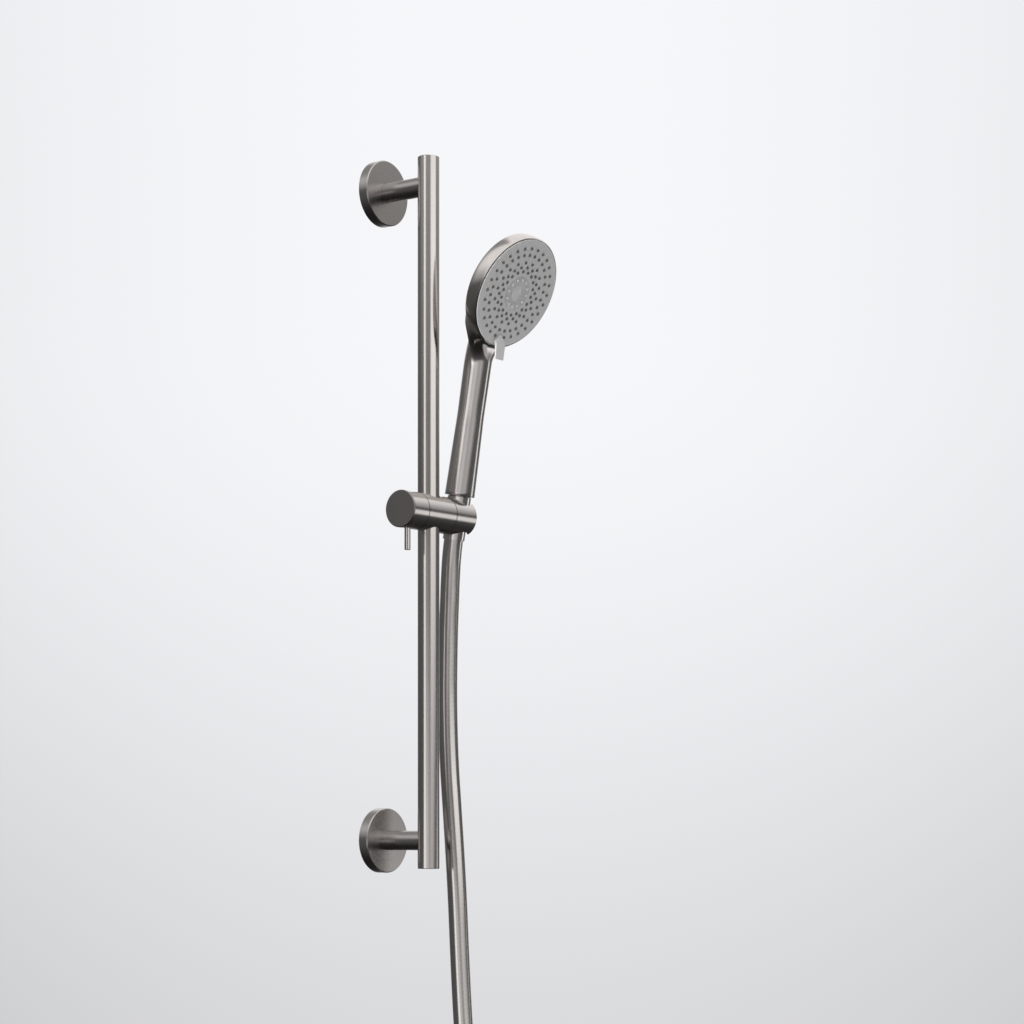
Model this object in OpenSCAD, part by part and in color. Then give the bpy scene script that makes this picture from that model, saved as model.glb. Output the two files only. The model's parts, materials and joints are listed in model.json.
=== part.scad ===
// Shower rail set: a wall rail on two brackets, a sliding holder, a hand shower and its hose.
// The wall is the plane y = 0 and the room is at -y. x runs along the wall and z is up.
// The origin is the middle of the four wall fixing holes.

/* [Rail] */
// Distance between the axes of the two wall brackets
bracket_spacing = 600; // [560:10:640]
// Rail tube outer diameter
rail_d = 20; // [19:0.5:20.5]
// Rail tube wall thickness
rail_wall = 1.5; // [1:0.25:2]
// Rail length over both end caps
rail_length = 652; // [640:2:700]
// Distance of the rail axis from the wall
rail_out = 58; // [56:1:64]
// Arm diameter
arm_d = 18; // [16:0.5:18]
// Thickness of an end cap
cap_t = 1.5; // [1:0.5:2]

/* [Wall fixing] */
// Rosette diameter
rosette_d = 60; // [54:1:64]
// Rosette depth from the wall
rosette_t = 9.7; // [8.5:0.1:10]
// Wall plate diameter
plate_d = 44; // [40:1:48]
// Wall plate thickness
plate_t = 4; // [3:0.5:4.5]
// Wall screw hole diameter
fixing_hole_d = 5; // [4:0.5:6]
// Distance between the two screw holes of a plate
fixing_hole_gap = 30; // [28:1:32]

/* [Slider] */
// Diameter of the slider, the knob and the holder
slider_d = 34; // [34:0.5:36]
// Left end of the lock knob
knob_left = -41.5; // [-44:0.5:-40]
// Seam between the knob and the slider body
seam_left = -19; // [-20:0.5:-18]
// Seam between the slider body and the holder
seam_right = 21; // [20:0.5:21.5]
// Right end of the holder
holder_right = 51.2; // [50:0.2:53]
// Lever pin diameter
pin_d = 5.5; // [5:0.5:6]
// Lever pin reach below the slider axis
pin_reach = 36.6; // [30:0.2:40]

/* [Hand shower] */
// Distance of the handle axis from the rail axis, along the wall
handle_x = 42; // [42:0.5:43]
// Lean of the handle towards the room
handle_lean = 10; // [10:0.5:10.5]
// Handle bottom diameter
handle_d = 28; // [27:0.5:29]
// Handle waist diameter
waist_d = 25; // [25:0.5:26]
// Spray face radius
face_r = 50.9; // [50.4:0.1:51]
// Head shell radius
head_r = 52.2; // [52.2:0.1:53]
// Head shell rim depth
rim_t = 14.5; // [14.5:0.5:16]
// Height of the head's domed back
dome_h = 8; // [7:0.5:9]
// Face centre, measured along the handle axis from the slider axis
face_along = 208.6; // [206:0.2:212]
// Face centre, measured square to the handle axis
face_out = 34.1; // [33:0.1:35]
// Lean of the face from the vertical
face_lean = 28.5; // [28:0.5:29]

/* [Hose] */
// Hose outer diameter
hose_d = 18; // [17:0.5:18]
// Length of the straight runs of the stored hank
hank_run = 270; // [250:10:300]
// Distance between the two sides of the hank
hank_gap = 108; // [100:2:112]
// Clearance between pieces that move on each other
slip = 0.1; // [0.05:0.01:0.15]

/* [Hidden] */
$fn = 96;
FINE = 48;
HULL_FN = 32;
SMALL_FN = 24;

// Overlap that joins two shapes of one piece, and the clearances of a tight, a snug and a close fit
EPS = 0.01;
TIGHT = 0.02;
SNUG = 0.05;
CLOSE = 0.2;
// How far a cutter runs past the face that it cuts
PAST = 1;

rail_r = rail_d / 2;
arm_r = arm_d / 2;
slider_r = slider_d / 2;
bracket_z = bracket_spacing / 2;
rail_half = rail_length / 2;
hose_r = hose_d / 2;
rail_bore_r = rail_r - rail_wall;

// Rail ends, the screws that hold the rail on the arms, and their inserts
cap_plug = 8;
cap_chamfer = 0.5;
insert_half = 12;
arm_screw_r = 3;
arm_screw_seat = 30;
arm_screw_end = rail_out + 4;
screw_head_r = 5;
screw_head_t = 5;

// Wall plate's boss, the grub screw in the arm, and the rosette's inner collar and groove
boss_r = 6;
boss_out = 18;
grub_out = 7.5;
grub_r = 2;
grub_length = 2.7;
rosette_wall = 1.3;
rosette_skin = 1.4;
rosette_chamfer = 0.8;
collar_r = 12.5;
collar_from = 5.2;
groove_from = 5.95;
groove_to = 7.65;
groove_r = 11.2;
rosette_cord_r = 0.8;

// Slider: bush, brake, knob, lever pin and the holder's pivot
bush_half = 11.5;
bush_wall = 1.5;
bush_split = 2;
brake_r = 5;
brake_left = -15;
knob_cap_t = 1.5;
knob_cap_plug_r = 6;
knob_cap_plug = 1.9;
edge_chamfer = 0.6;
disc_t = 0.3;
disc_hole_r = 3.5;
knob_washer_hole_r = 5.5;
spindle_r = 4;
spindle_head_r = 4.9;
spindle_thread_r = 1.5;
knob_screw_seat = -35;
knob_screw_head_r = 3.5;
pin_x = -30.7;
pin_shank_r = 2.2;
pin_seat = 1.9;
pin_shank = 7.5;
pivot_r = 3;
pivot_seat = 26.1;
pivot_washer_t = 0.5;
pivot_head_end = 30;

// Stations along the handle axis, from the slider axis
nut_low = -21;
nut_high = 19.6;
handle_low = 20;
neck_at = 148;
nut_low_r = 10.2;
nut_high_r = 11;
thread_r = 9.3;
seat_r = 11.7;
slot_half = 9.6;
liner_low = -3;
liner_high = 11.5;
washer_low = -0.5;
washer_high = 1.5;
nipple_r = 5;
nipple_bore_r = 4;
nipple_low = -20;
nipple_flange = -3.1;
sleeve_r = 8;
sleeve_low = -18;
sleeve_high = -4;

// Inside of the handle
handle_bore_r = 10.45;
insert_high = handle_low + 14;
waterway_r = 6.4;
screen_hole_r = 1;
screen_hole_circle = 3.6;
pipe_bend = 143;
pipe_tilt = 20;
pipe_r = 6;
pipe_branch_r = 4.5;
pipe_wall = 1.5;

// Inside of the head, as heights below the face and radii about its middle
face_t = 3.1;
face_recess = 3.3;
head_bore_r = 49;
head_floor = -15.5;
chamber_r = 48.9;
chamber_floor = -15;
chamber_wall_r = 46;
chamber_top = -8;
chamber_bore_r = 43;
chamber_post_r = 6;
inlet_r = 3;
seal_r = 48;
seal_cord_r = 0.9;
detent_r = 44.5;
detent_ball_r = 1;
disc_low = -6.9;
mat_low = -4.9;
mat_high = -3.15;
mat_hole_r = 16.6;
insert_r = 16;
cap_r = 8;
cap_height = 2.6;
cap_edge = 0.3;
centre_screw_r = 1.5;
centre_head_r = 3;

// Selector tab, and the nozzles
tab_half = 6.4;
tab_end = -61;
nozzle_r = 1.5;
nozzle_tip_r = 1.1;
nozzle_height = 1;
clear_nozzle_r = 1.6;
outer_pitch = 342.2 / 27;

// Hank and far end of the hose
hank_top = -543;
hank_front_y = -78;
hank_layer = 18.25;
tail_from = -600;
tail_to = -641;
end_y = -46;
tie_low = -585;
tie_height = 14;
tie_gap = 0.3;
tie_wall = 1.2;
ferrule_r = 9.8;
ferrule_neck_r = 6;
ferrule_flange_r = 8.8;
end_nut_r = 12.2;
flute_r = 1.2;
flute_circle = 12.9;

// The hose's route as [y, z] points, all at x = handle_x
NECK_ROUTE = [[-54.9, -17.7], [-54.2, -21.5], [-52.8, -31], [-51.6, -42], [-50.75, -54.5]];
TUBE_ROUTE = [
    [-50.2, -64], [-49.5, -80], [-48.4, -105], [-47.7, -135], [-47.4, -165], [-48.1, -200],
    [-49.8, -235], [-52.2, -265], [-54.6, -295], [-57, -327], [-59.1, -360], [-61.2, -400],
    [-63.2, -435], [-65.6, -470], [-68, -498], [-68.9, -512], [-69, -528], [-69, -543]
];
TAIL_ROUTE = [[-50.6, -600], [-50.6, -606], [-49.7, -614], [-47, -627], [-46, -635], [-46, -641]];
ROUTE_SIDES = 12;

steel = [0.5, 0.48, 0.47];
dark_steel = [0.33, 0.31, 0.3];
grey_plastic = [0.6, 0.6, 0.61];
light_grey = [0.75, 0.75, 0.76];
dark_rubber = [0.25, 0.25, 0.26];
white_plastic = [0.9, 0.9, 0.9];
brass = [0.75, 0.62, 0.35];

// ---- placing helpers ----

// A cylinder along the room's depth, from y0 out to y1 (y1 < y0)
module along_y(y0, y1, r) translate([0, y0, 0]) rotate([90, 0, 0]) cylinder(r = r, h = y0 - y1);

// A cylinder along the wall, from x0 to x1, on the slider axis
module along_x(x0, x1, r) translate([x0, -rail_out, 0]) rotate([0, 90, 0]) cylinder(r = r, h = x1 - x0);

// A cylinder or cone on the z axis from z0 to z1
module upright(z0, z1, r0, r1) translate([0, 0, z0]) cylinder(r1 = r0, r2 = r1, h = z1 - z0);

// A plain ring on the z axis
module ring(z0, z1, inner, outer) difference() {
    upright(z0, z1, outer, outer);
    upright(z0 - 1, z1 + 1, inner, inner);
}

// A round-section ring about the z axis
module o_ring(z, ring_r, cord_r)
    translate([0, 0, z]) rotate_extrude() translate([ring_r, 0]) circle(r = cord_r, $fn = FINE);

// The rail's own axis
module at_rail() translate([0, -rail_out, 0]) children();

// The handle's frame: z runs up the handle, and the room is at -y
module at_handle() translate([handle_x, -rail_out, 0]) rotate([handle_lean, 0, 0]) children();

// The spray face's frame: z points out of the face, and y up it
module at_face()
    at_handle() translate([0, -face_out, face_along]) rotate([90 + face_lean - handle_lean, 0, 0]) children();

// The far end of the hose
module at_end() translate([handle_x, end_y, 0]) children();

// The sign of a bracket: 1 for the upper, -1 for the lower
module at_bracket(side) translate([0, 0, side * bracket_z]) children();

// ---- rail and brackets ----

module rail_tube() color(steel) difference() {
    at_rail() ring(-rail_half + cap_t, rail_half - cap_t, rail_bore_r, rail_r);
    for (side = [-1, 1]) at_bracket(side) along_y(-rail_out + rail_r + PAST, -rail_out, arm_screw_r + CLOSE);
}

module end_cap(side) color(dark_steel) at_rail() mirror([0, 0, side < 0 ? 1 : 0]) {
    upright(rail_half - cap_t, rail_half - cap_chamfer, rail_r, rail_r);
    upright(rail_half - cap_chamfer, rail_half, rail_r, rail_r - cap_chamfer);
    upright(rail_half - cap_t - cap_plug, rail_half - cap_t, rail_bore_r - SNUG, rail_bore_r - SNUG);
}
module top_cap() end_cap(1);
module bottom_cap() end_cap(-1);

// Solid plug inside the tube that the arm screw pulls on
module rail_insert(side) color(brass) difference() {
    at_rail() at_bracket(side) upright(-insert_half, insert_half, rail_bore_r - SNUG, rail_bore_r - SNUG);
    at_bracket(side) along_y(-rail_out + rail_r, -arm_screw_end - PAST, arm_screw_r);
}
module upper_insert() rail_insert(1);
module lower_insert() rail_insert(-1);

module arm(side) color(steel) difference() {
    at_bracket(side) along_y(-plate_t, -rail_out, arm_r);
    at_rail() upright(-rail_half, rail_half, rail_r + TIGHT, rail_r + TIGHT);
    at_bracket(side) along_y(-plate_t + PAST, -arm_screw_seat, boss_r + SNUG);
    at_bracket(side) along_y(-arm_screw_seat + PAST, -rail_out, arm_screw_r + slip);
    at_bracket(side) translate([0, -grub_out, -arm_r - PAST]) cylinder(r = grub_r + SNUG, h = arm_r);
}
module upper_arm() arm(1);
module lower_arm() arm(-1);

module arm_screws() color(dark_steel) for (side = [-1, 1]) at_bracket(side) difference() {
    union() {
        along_y(-arm_screw_seat + screw_head_t, -arm_screw_seat, screw_head_r);
        along_y(-arm_screw_seat + EPS, -arm_screw_end, arm_screw_r - TIGHT);
    }
    along_y(-arm_screw_seat + screw_head_t + PAST, -arm_screw_seat + 2, screw_head_r / 2, $fn = 6);
}

module wall_plate(side) color(steel) at_bracket(side) difference() {
    union() {
        along_y(0, -plate_t, plate_d / 2);
        along_y(-plate_t + EPS, -boss_out, boss_r);
    }
    for (x = [-1, 1]) translate([x * fixing_hole_gap / 2, 0, 0])
        along_y(PAST, -plate_t - PAST, fixing_hole_d / 2);
}
module upper_wall_plate() wall_plate(1);
module lower_wall_plate() wall_plate(-1);

module grub_screws() color(dark_steel) for (side = [-1, 1]) at_bracket(side)
    translate([0, -grub_out, -arm_r + CLOSE]) cylinder(r = grub_r - SNUG, h = grub_length);

module rosette(side) color(steel) at_bracket(side) rotate([90, 0, 0]) difference() {
    union() {
        difference() {
            union() {
                upright(0, rosette_t - rosette_chamfer, rosette_d / 2, rosette_d / 2);
                upright(rosette_t - rosette_chamfer, rosette_t, rosette_d / 2, rosette_d / 2 - rosette_chamfer);
            }
            upright(-PAST, rosette_t - rosette_skin, rosette_d / 2 - rosette_wall, rosette_d / 2 - rosette_wall);
        }
        upright(collar_from, rosette_t - rosette_skin + EPS, collar_r, collar_r);
    }
    upright(-PAST, rosette_t + PAST, arm_r + slip, arm_r + slip);
    upright(groove_from, groove_to, groove_r, groove_r);
}
module upper_rosette() rosette(1);
module lower_rosette() rosette(-1);

module rosette_ring(side) color(dark_rubber) at_bracket(side) rotate([90, 0, 0])
    o_ring((groove_from + groove_to) / 2, arm_r + slip + rosette_cord_r + CLOSE + SNUG, rosette_cord_r);
module upper_rosette_ring() rosette_ring(1);
module lower_rosette_ring() rosette_ring(-1);

// ---- slider ----

module slider_body() color(steel) difference() {
    along_x(seam_left, seam_right, slider_r);
    at_rail() upright(-slider_r - PAST, slider_r + PAST, rail_r + 0.5, rail_r + 0.5);
    at_rail() upright(-bush_half, bush_half, rail_r + bush_wall + slip, rail_r + bush_wall + slip);
    along_x(seam_left - PAST, -rail_r, brake_r + slip);
    along_x(rail_r + 2, seam_right + PAST, pivot_r + TIGHT);
}

// Plastic sleeve that runs on the rail, split so that it snaps in
module rail_bush() color(white_plastic) difference() {
    at_rail() ring(-bush_half + slip, bush_half - slip, rail_r + SNUG, rail_r + bush_wall + SNUG);
    along_x(-rail_r - 3, -rail_r + 3, brake_r + 3 * slip);
    at_rail() translate([-bush_split / 2, rail_r - 2, -bush_half - PAST])
        cube([bush_split, 5, 2 * (bush_half + PAST)]);
}

module knob_washer() color(dark_rubber) difference() {
    along_x(seam_left - disc_t, seam_left, slider_r - 0.5);
    along_x(seam_left - PAST, seam_left + PAST, knob_washer_hole_r);
}

module friction_disc() color(dark_rubber) difference() {
    along_x(seam_right, seam_right + disc_t, slider_r - 0.5);
    along_x(seam_right - PAST, seam_right + PAST, disc_hole_r);
}

module pivot_screw() color(dark_steel) difference() {
    union() {
        along_x(rail_r + 2 + CLOSE, pivot_seat + pivot_washer_t + EPS, pivot_r - TIGHT);
        along_x(pivot_seat + pivot_washer_t, pivot_head_end, screw_head_r);
    }
    along_x(pivot_head_end - 2, pivot_head_end + PAST, 2, $fn = 6);
}

// Presses on the rail when the lever hangs down
module brake_pad() color(dark_rubber) difference() {
    along_x(brake_left, -rail_r + PAST, brake_r);
    at_rail() upright(-slider_r, slider_r, rail_r + TIGHT, rail_r + TIGHT);
}

module lock_knob() color(steel) difference() {
    along_x(knob_left + knob_cap_t, seam_left - disc_t - SNUG, slider_r);
    along_x(knob_left, seam_left, spindle_r + SNUG);
    along_x(knob_left, knob_screw_seat, knob_cap_plug_r);
    translate([pin_x, -rail_out, -slider_r - PAST]) {
        cylinder(r = pin_d / 2 + SNUG, h = pin_seat + PAST + slip);
        cylinder(r = pin_shank_r + SNUG, h = pin_shank + PAST + 0.5);
    }
}

module knob_cap() color(dark_steel) translate([knob_left, -rail_out, 0]) rotate([0, 90, 0]) {
    upright(0, edge_chamfer, slider_r - edge_chamfer, slider_r);
    upright(edge_chamfer, knob_cap_t, slider_r, slider_r);
    upright(knob_cap_t, knob_cap_t + knob_cap_plug, knob_cap_plug_r - slip, knob_cap_plug_r - slip);
}

module lever_pin() color(steel) translate([pin_x, -rail_out, 0]) {
    pin_chamfer = 0.4;
    upright(-pin_reach, -pin_reach + pin_chamfer, pin_d / 2 - pin_chamfer, pin_d / 2);
    upright(-pin_reach + pin_chamfer, -slider_r + pin_seat, pin_d / 2, pin_d / 2);
    upright(-slider_r + pin_seat, -slider_r + pin_shank, pin_shank_r, pin_shank_r);
}

module clamp_spindle() color(brass) difference() {
    union() {
        along_x(seam_left + CLOSE, brake_left - edge_chamfer, spindle_head_r);
        along_x(knob_screw_seat + slip, seam_left + CLOSE + EPS, spindle_r);
    }
    along_x(knob_screw_seat - PAST, -27, spindle_thread_r);
}

module knob_screw() color(dark_steel) {
    along_x(-37.8, knob_screw_seat, knob_screw_head_r);
    along_x(knob_screw_seat - EPS, -28, spindle_thread_r - TIGHT);
}

// ---- holder ----

module holder() color(steel) difference() {
    union() {
        along_x(seam_right + disc_t + SNUG, holder_right - edge_chamfer, slider_r);
        translate([holder_right - edge_chamfer, -rail_out, 0]) rotate([0, 90, 0])
            upright(0, edge_chamfer, slider_r, slider_r - edge_chamfer);
    }
    at_handle() upright(-30, 30, seat_r, seat_r);
    at_handle() translate([0, -slot_half, -30]) cube([20, 2 * slot_half, 60]);
    along_x(seam_right, pivot_seat + PAST, pivot_r + slip);
    along_x(pivot_seat, handle_x - 8, screw_head_r + 4 * slip);
}

// The nut's outside radius at a station along the handle axis
function nut_r(s) = nut_low_r + (nut_high_r - nut_low_r) * (s - nut_low) / (nut_high - nut_low);

// Tapered C-shaped seat for the cone nut
module holder_liner() color(dark_rubber) at_handle() difference() {
    low = liner_low - PAST;
    high = liner_high + PAST;
    upright(liner_low, liner_high, seat_r - SNUG, seat_r - SNUG);
    upright(low, high, nut_r(low) + slip, nut_r(high) + slip);
    translate([0, -slot_half, -10]) cube([20, 2 * slot_half, 40]);
}

module pivot_washer() color(white_plastic) difference() {
    along_x(pivot_seat, pivot_seat + pivot_washer_t - SNUG, screw_head_r + CLOSE);
    along_x(pivot_seat - PAST, pivot_seat + PAST, pivot_r + CLOSE);
}

// ---- hose end inside the cone nut ----

module hose_nipple() color(brass) at_handle() difference() {
    union() {
        upright(nipple_low, nipple_flange + slip, nipple_r, nipple_r);
        upright(nipple_flange, washer_low - slip, thread_r - CLOSE, thread_r - CLOSE);
    }
    upright(nipple_low - PAST, PAST, nipple_bore_r, nipple_bore_r);
}

module swivel_ring() color(white_plastic) at_handle()
    ring(sleeve_high + slip, nipple_flange - slip, nipple_r + slip, thread_r - CLOSE);

module hose_washer() color(dark_rubber) at_handle()
    ring(washer_low, washer_high, nipple_bore_r + 0.5, thread_r - CLOSE);

// A tube of rings carried along a route of [y, z] points at x = handle_x; radii gives each ring's radius
function unit(v) = v / norm(v);
function heading(route, i) = unit(route[min(i + 1, len(route) - 1)] - route[max(i - 1, 0)]);
function route_ring(route, i, radius) = [
    for (k = [0:ROUTE_SIDES - 1]) let (a = 360 * k / ROUTE_SIDES, t = heading(route, i)) [
        handle_x + radius * cos(a),
        route[i][0] - radius * sin(a) * t[1],
        route[i][1] + radius * sin(a) * t[0]
    ]
];
module swept(route, radii) {
    n = len(route);
    m = ROUTE_SIDES;
    points = [for (i = [0:n - 1]) each route_ring(route, i, radii[i])];
    walls = [for (i = [0:n - 2], k = [0:m - 1]) let (j = (k + 1) % m) each [
        [i * m + k, i * m + j, (i + 1) * m + j],
        [i * m + k, (i + 1) * m + j, (i + 1) * m + k]
    ]];
    start = [for (k = [m - 1:-1:0]) k];
    finish = [for (k = [0:m - 1]) (n - 1) * m + k];
    polyhedron(points = points, faces = concat([start], walls, [finish]), convexity = 4);
}

module hose_neck() color(steel) difference() {
    union() {
        at_handle() upright(sleeve_low - slip, sleeve_high - slip, sleeve_r, sleeve_r);
        swept(NECK_ROUTE, [for (p = NECK_ROUTE) hose_r]);
    }
    at_handle() upright(-21.5, sleeve_high + PAST, nipple_r + SNUG, nipple_r + SNUG);
}

// ---- hand shower ----

module handle_outside() at_handle() {
    waist_at = handle_low + 75;
    upright(handle_low, waist_at, handle_d / 2, waist_d / 2);
    upright(waist_at - EPS, neck_at + 4, waist_d / 2, waist_d / 2 + 0.4);
}

// Blends the top of the handle into the back of the head
module neck(handle_radius, disc_radius, low, high) hull() {
    at_handle() upright(neck_at - 3, neck_at, handle_radius, handle_radius, $fn = HULL_FN);
    at_face() translate([0, -14, 0]) upright(low, high, disc_radius, disc_radius, $fn = HULL_FN);
}

// A round rim with a domed back: a cylinder cut by one large sphere
module head_outside() at_face() {
    dome_sphere = (head_r * head_r + dome_h * dome_h) / (2 * dome_h);
    intersection() {
        translate([0, 0, -rim_t - dome_h + dome_sphere]) sphere(r = dome_sphere, $fn = 200);
        upright(-rim_t - dome_h - PAST, 0, head_r, head_r);
    }
}

module handset_shell() color(steel) difference() {
    union() {
        handle_outside();
        neck(waist_d / 2 - CLOSE, 30, -19, -4);
        head_outside();
    }
    at_handle() upright(handle_low - PAST, neck_at + 2, handle_bore_r, handle_bore_r);
    neck(10, 27, -16.5, -6);
    at_face() upright(head_floor, -2, head_bore_r, head_bore_r);
    at_face() upright(-face_recess, PAST, head_r - 1, head_r - 1);
}

module cone_nut() color(steel) at_handle() difference() {
    union() {
        upright(nut_low, nut_high - edge_chamfer, nut_low_r, nut_r(nut_high - edge_chamfer));
        upright(nut_high - edge_chamfer, nut_high, nut_r(nut_high - edge_chamfer), nut_high_r - edge_chamfer);
    }
    upright(nut_low - PAST, sleeve_low + slip, hose_r + slip + TIGHT, hose_r + slip + TIGHT);
    upright(nut_low - PAST, 0, sleeve_r + slip, sleeve_r + slip);
    upright(sleeve_high, nut_high + PAST, thread_r, thread_r);
}

module threaded_insert() color(brass) at_handle() difference() {
    union() {
        upright(washer_high + slip, handle_low + 0.3, thread_r - SNUG, thread_r - SNUG);
        upright(handle_low + 0.3 - EPS, insert_high, handle_bore_r - SNUG, handle_bore_r - SNUG);
    }
    upright(0, insert_high + PAST, waterway_r + slip, waterway_r + slip);
}

module filter_screen() color(white_plastic) at_handle() difference() {
    upright(2, 3.2, waterway_r, waterway_r);
    for (a = [0:60:300]) rotate([0, 0, a]) translate([screen_hole_circle, 0, 1])
        cylinder(r = screen_hole_r, h = 3, $fn = SMALL_FN);
    translate([0, 0, 1]) cylinder(r = screen_hole_r, h = 3, $fn = SMALL_FN);
}

module flow_limiter() color(white_plastic) at_handle() ring(4, 9, 2, waterway_r);

module check_valve() color(dark_steel) at_handle() ring(12, 24, 3, waterway_r);

// Inner pipe from the handle's thread to the chamber's inlet; it bends where the face plane passes it
module waterway_pipe(main_radius, branch_radius, knee_radius, low) at_handle() {
    upright(low, pipe_bend, main_radius, main_radius);
    translate([0, 0, pipe_bend]) {
        sphere(r = knee_radius);
        rotate([pipe_tilt, 0, 0]) upright(0, 30, branch_radius, branch_radius);
    }
}
module waterway_tube() color(white_plastic) difference() {
    waterway_pipe(pipe_r, pipe_branch_r, pipe_r + 0.4, insert_high + 0.5);
    waterway_pipe(pipe_r - pipe_wall, pipe_branch_r - 1.3, pipe_r - pipe_wall + 0.3, insert_high);
    at_face() upright(-20, 0, head_bore_r, head_bore_r);
}

// The chamber's inlet stands on its lower edge, where the pipe ends
module water_chamber() color(white_plastic) at_face() difference() {
    union() {
        upright(chamber_floor, chamber_floor + 1.5, chamber_r, chamber_r);
        upright(chamber_floor + 1, chamber_top, chamber_wall_r, chamber_wall_r);
        translate([-6, -48.5, chamber_floor]) cube([12, 6, 7]);
    }
    difference() {
        upright(chamber_floor + 1.5, chamber_top + PAST, chamber_bore_r, chamber_bore_r);
        upright(chamber_floor + 1, chamber_top, chamber_post_r, chamber_post_r);
    }
    translate([0, -50, -11.3]) rotate([-90, 0, 0]) cylinder(r = inlet_r, h = 10);
    upright(chamber_floor - PAST, chamber_top + PAST, centre_screw_r + SNUG, centre_screw_r + SNUG);
    at_detent() upright(-12.5, chamber_top + PAST, detent_ball_r + slip, detent_ball_r + slip);
}

module chamber_seal() color(dark_rubber) at_face() o_ring(-6, seal_r, seal_cord_r);

// The pocket in the chamber's rim, where a sprung ball makes the face click from spray to spray
module at_detent() rotate([0, 0, 45]) translate([detent_r, 0, 0]) children();

module detent_spring() color(dark_steel) at_face() at_detent()
    ring(-12.4, -9.2, 0.6, detent_ball_r, $fn = FINE);

module detent_ball() color(steel) at_face() at_detent() translate([0, 0, -8.1])
    sphere(r = detent_ball_r, $fn = FINE);

// ---- spray face, which turns with the selector tab ----

// Calls its children at count places on a circle, from the angle start, a pitch apart
module around(count, radius, start, pitch)
    for (i = [0:count - 1]) rotate([0, 0, start + i * pitch]) translate([radius, 0, 0]) children();

// The dark nozzles: two outer rings, the outermost with a gap for the tab, and three inner rings
module at_nozzles() {
    around(28, 42.6, 278.9, outer_pitch) children();
    around(30, 36.3, 0, 12) children();
    around(18, 29.1, 0, 20) children();
    around(18, 24.75, 10, 20) children();
    around(18, 20.7, 0, 20) children();
}

module diverter_disc() color(white_plastic) at_face() difference() {
    upright(disc_low, mat_low - slip, chamber_wall_r, chamber_wall_r);
    for (ring_r = [13, 25, 39]) around(3, ring_r, 30, 120) upright(-8, -4, 2.5, 2.5);
    upright(-8, -4, 1.8, 1.8);
}

module nozzle_mat() color(dark_rubber) at_face() {
    difference() {
        upright(mat_low, mat_high, seal_r, seal_r);
        upright(mat_low - PAST, mat_high + PAST, mat_hole_r, mat_hole_r);
    }
    at_nozzles() upright(mat_high - SNUG, nozzle_height, nozzle_r, nozzle_tip_r, $fn = SMALL_FN);
}

module faceplate() color(grey_plastic) at_face() difference() {
    union() {
        upright(-face_t, -0.3, face_r, face_r);
        upright(-0.3, 0, face_r, face_r - 0.3);
    }
    at_nozzles() upright(-face_t - PAST, PAST, nozzle_r + slip, nozzle_r + slip, $fn = SMALL_FN);
    upright(-face_t - PAST, PAST, insert_r + slip, insert_r + slip);
}

module spray_insert() color(white_plastic) at_face() difference() {
    union() {
        upright(mat_low, -3.2, insert_r + 0.5, insert_r + 0.5);
        upright(-3.3, 0, insert_r, insert_r);
        around(12, 12.8, 0, 30) upright(-slip, 0.9, clear_nozzle_r, clear_nozzle_r - 0.5, $fn = SMALL_FN);
    }
    upright(mat_low - PAST, PAST, centre_head_r + CLOSE, centre_head_r + CLOSE);
}

module centre_cap() color(light_grey) at_face() {
    cap_sphere = (cap_r * cap_r + pow(cap_height - cap_edge, 2)) / (2 * (cap_height - cap_edge));
    intersection() {
        translate([0, 0, cap_height - cap_sphere]) sphere(r = cap_sphere);
        upright(TIGHT, cap_height + PAST, cap_r, cap_r);
    }
}

module centre_screw() color(dark_steel) at_face() {
    upright(mat_low + slip, -1.5, centre_head_r, centre_head_r);
    upright(-14.5, mat_low + 2 * slip, centre_screw_r, centre_screw_r);
}

// Pointed tab: it rises from the face as a wedge and reaches over the rim as a thumb lever
module selector_tab() color(light_grey) at_face() intersection() {
    rotate([90, 0, 90]) linear_extrude(height = 2 * tab_half, center = true) polygon([
        [-40.4, TIGHT], [-51, TIGHT], [tab_end, 7.4], [tab_end, 10.4], [-45.5, 4.6], [-40.4, 0.6]
    ]);
    linear_extrude(height = 12) polygon([
        [0, -40.4], [5, -44.6], [tab_half, -48], [tab_half - 0.4, tab_end],
        [0.4 - tab_half, tab_end], [-tab_half, -48], [-5, -44.6]
    ]);
}

// ---- hose and its far end ----

// The tube hangs from a ball end, on which it swings under the neck
module hose_tube() color(steel) {
    top = TUBE_ROUTE[0];
    up = -heading(TUBE_ROUTE, 0);
    ball = [75, 50, 25];
    route = concat([for (a = ball) top + hose_r * sin(a) * up], TUBE_ROUTE);
    radii = concat([for (a = ball) hose_r * cos(a)], [for (p = TUBE_ROUTE) hose_r]);
    swept(route, radii);
}

// Outline of the hank: a band with round ends, of the hose's own width
module oval(r) {
    for (y = [0, -hank_run]) translate([hank_gap / 2, y]) circle(r = r);
    translate([hank_gap / 2 - r, -hank_run]) square([2 * r, hank_run]);
}
module hank_outline() difference() {
    oval(hank_gap / 2 + hose_r);
    oval(hank_gap / 2 - hose_r);
}
module hank_slab(y_back) translate([handle_x, y_back, hank_top]) rotate([90, 0, 0])
    linear_extrude(height = hank_layer) children();

module hose_hank() color(steel) {
    hank_slab(hank_front_y + hank_layer) intersection() {
        hank_outline();
        translate([-50, -500]) square([300, 500]);
    }
    hank_slab(hank_front_y + 2 * hank_layer) intersection() {
        hank_outline();
        translate([-50, tail_from - hank_top]) square([300, 500]);
    }
}

// Strap round both sides of the hank
module band_outline(grow) translate([handle_x - hose_r - grow, hank_front_y - grow])
    square([hank_gap + hose_d + 2 * grow, 2 * hank_layer + 2 * grow]);
module hank_tie() color(dark_rubber) translate([0, 0, tie_low])
    linear_extrude(height = tie_height) difference() {
        band_outline(tie_gap + tie_wall);
        band_outline(tie_gap);
    }

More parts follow.
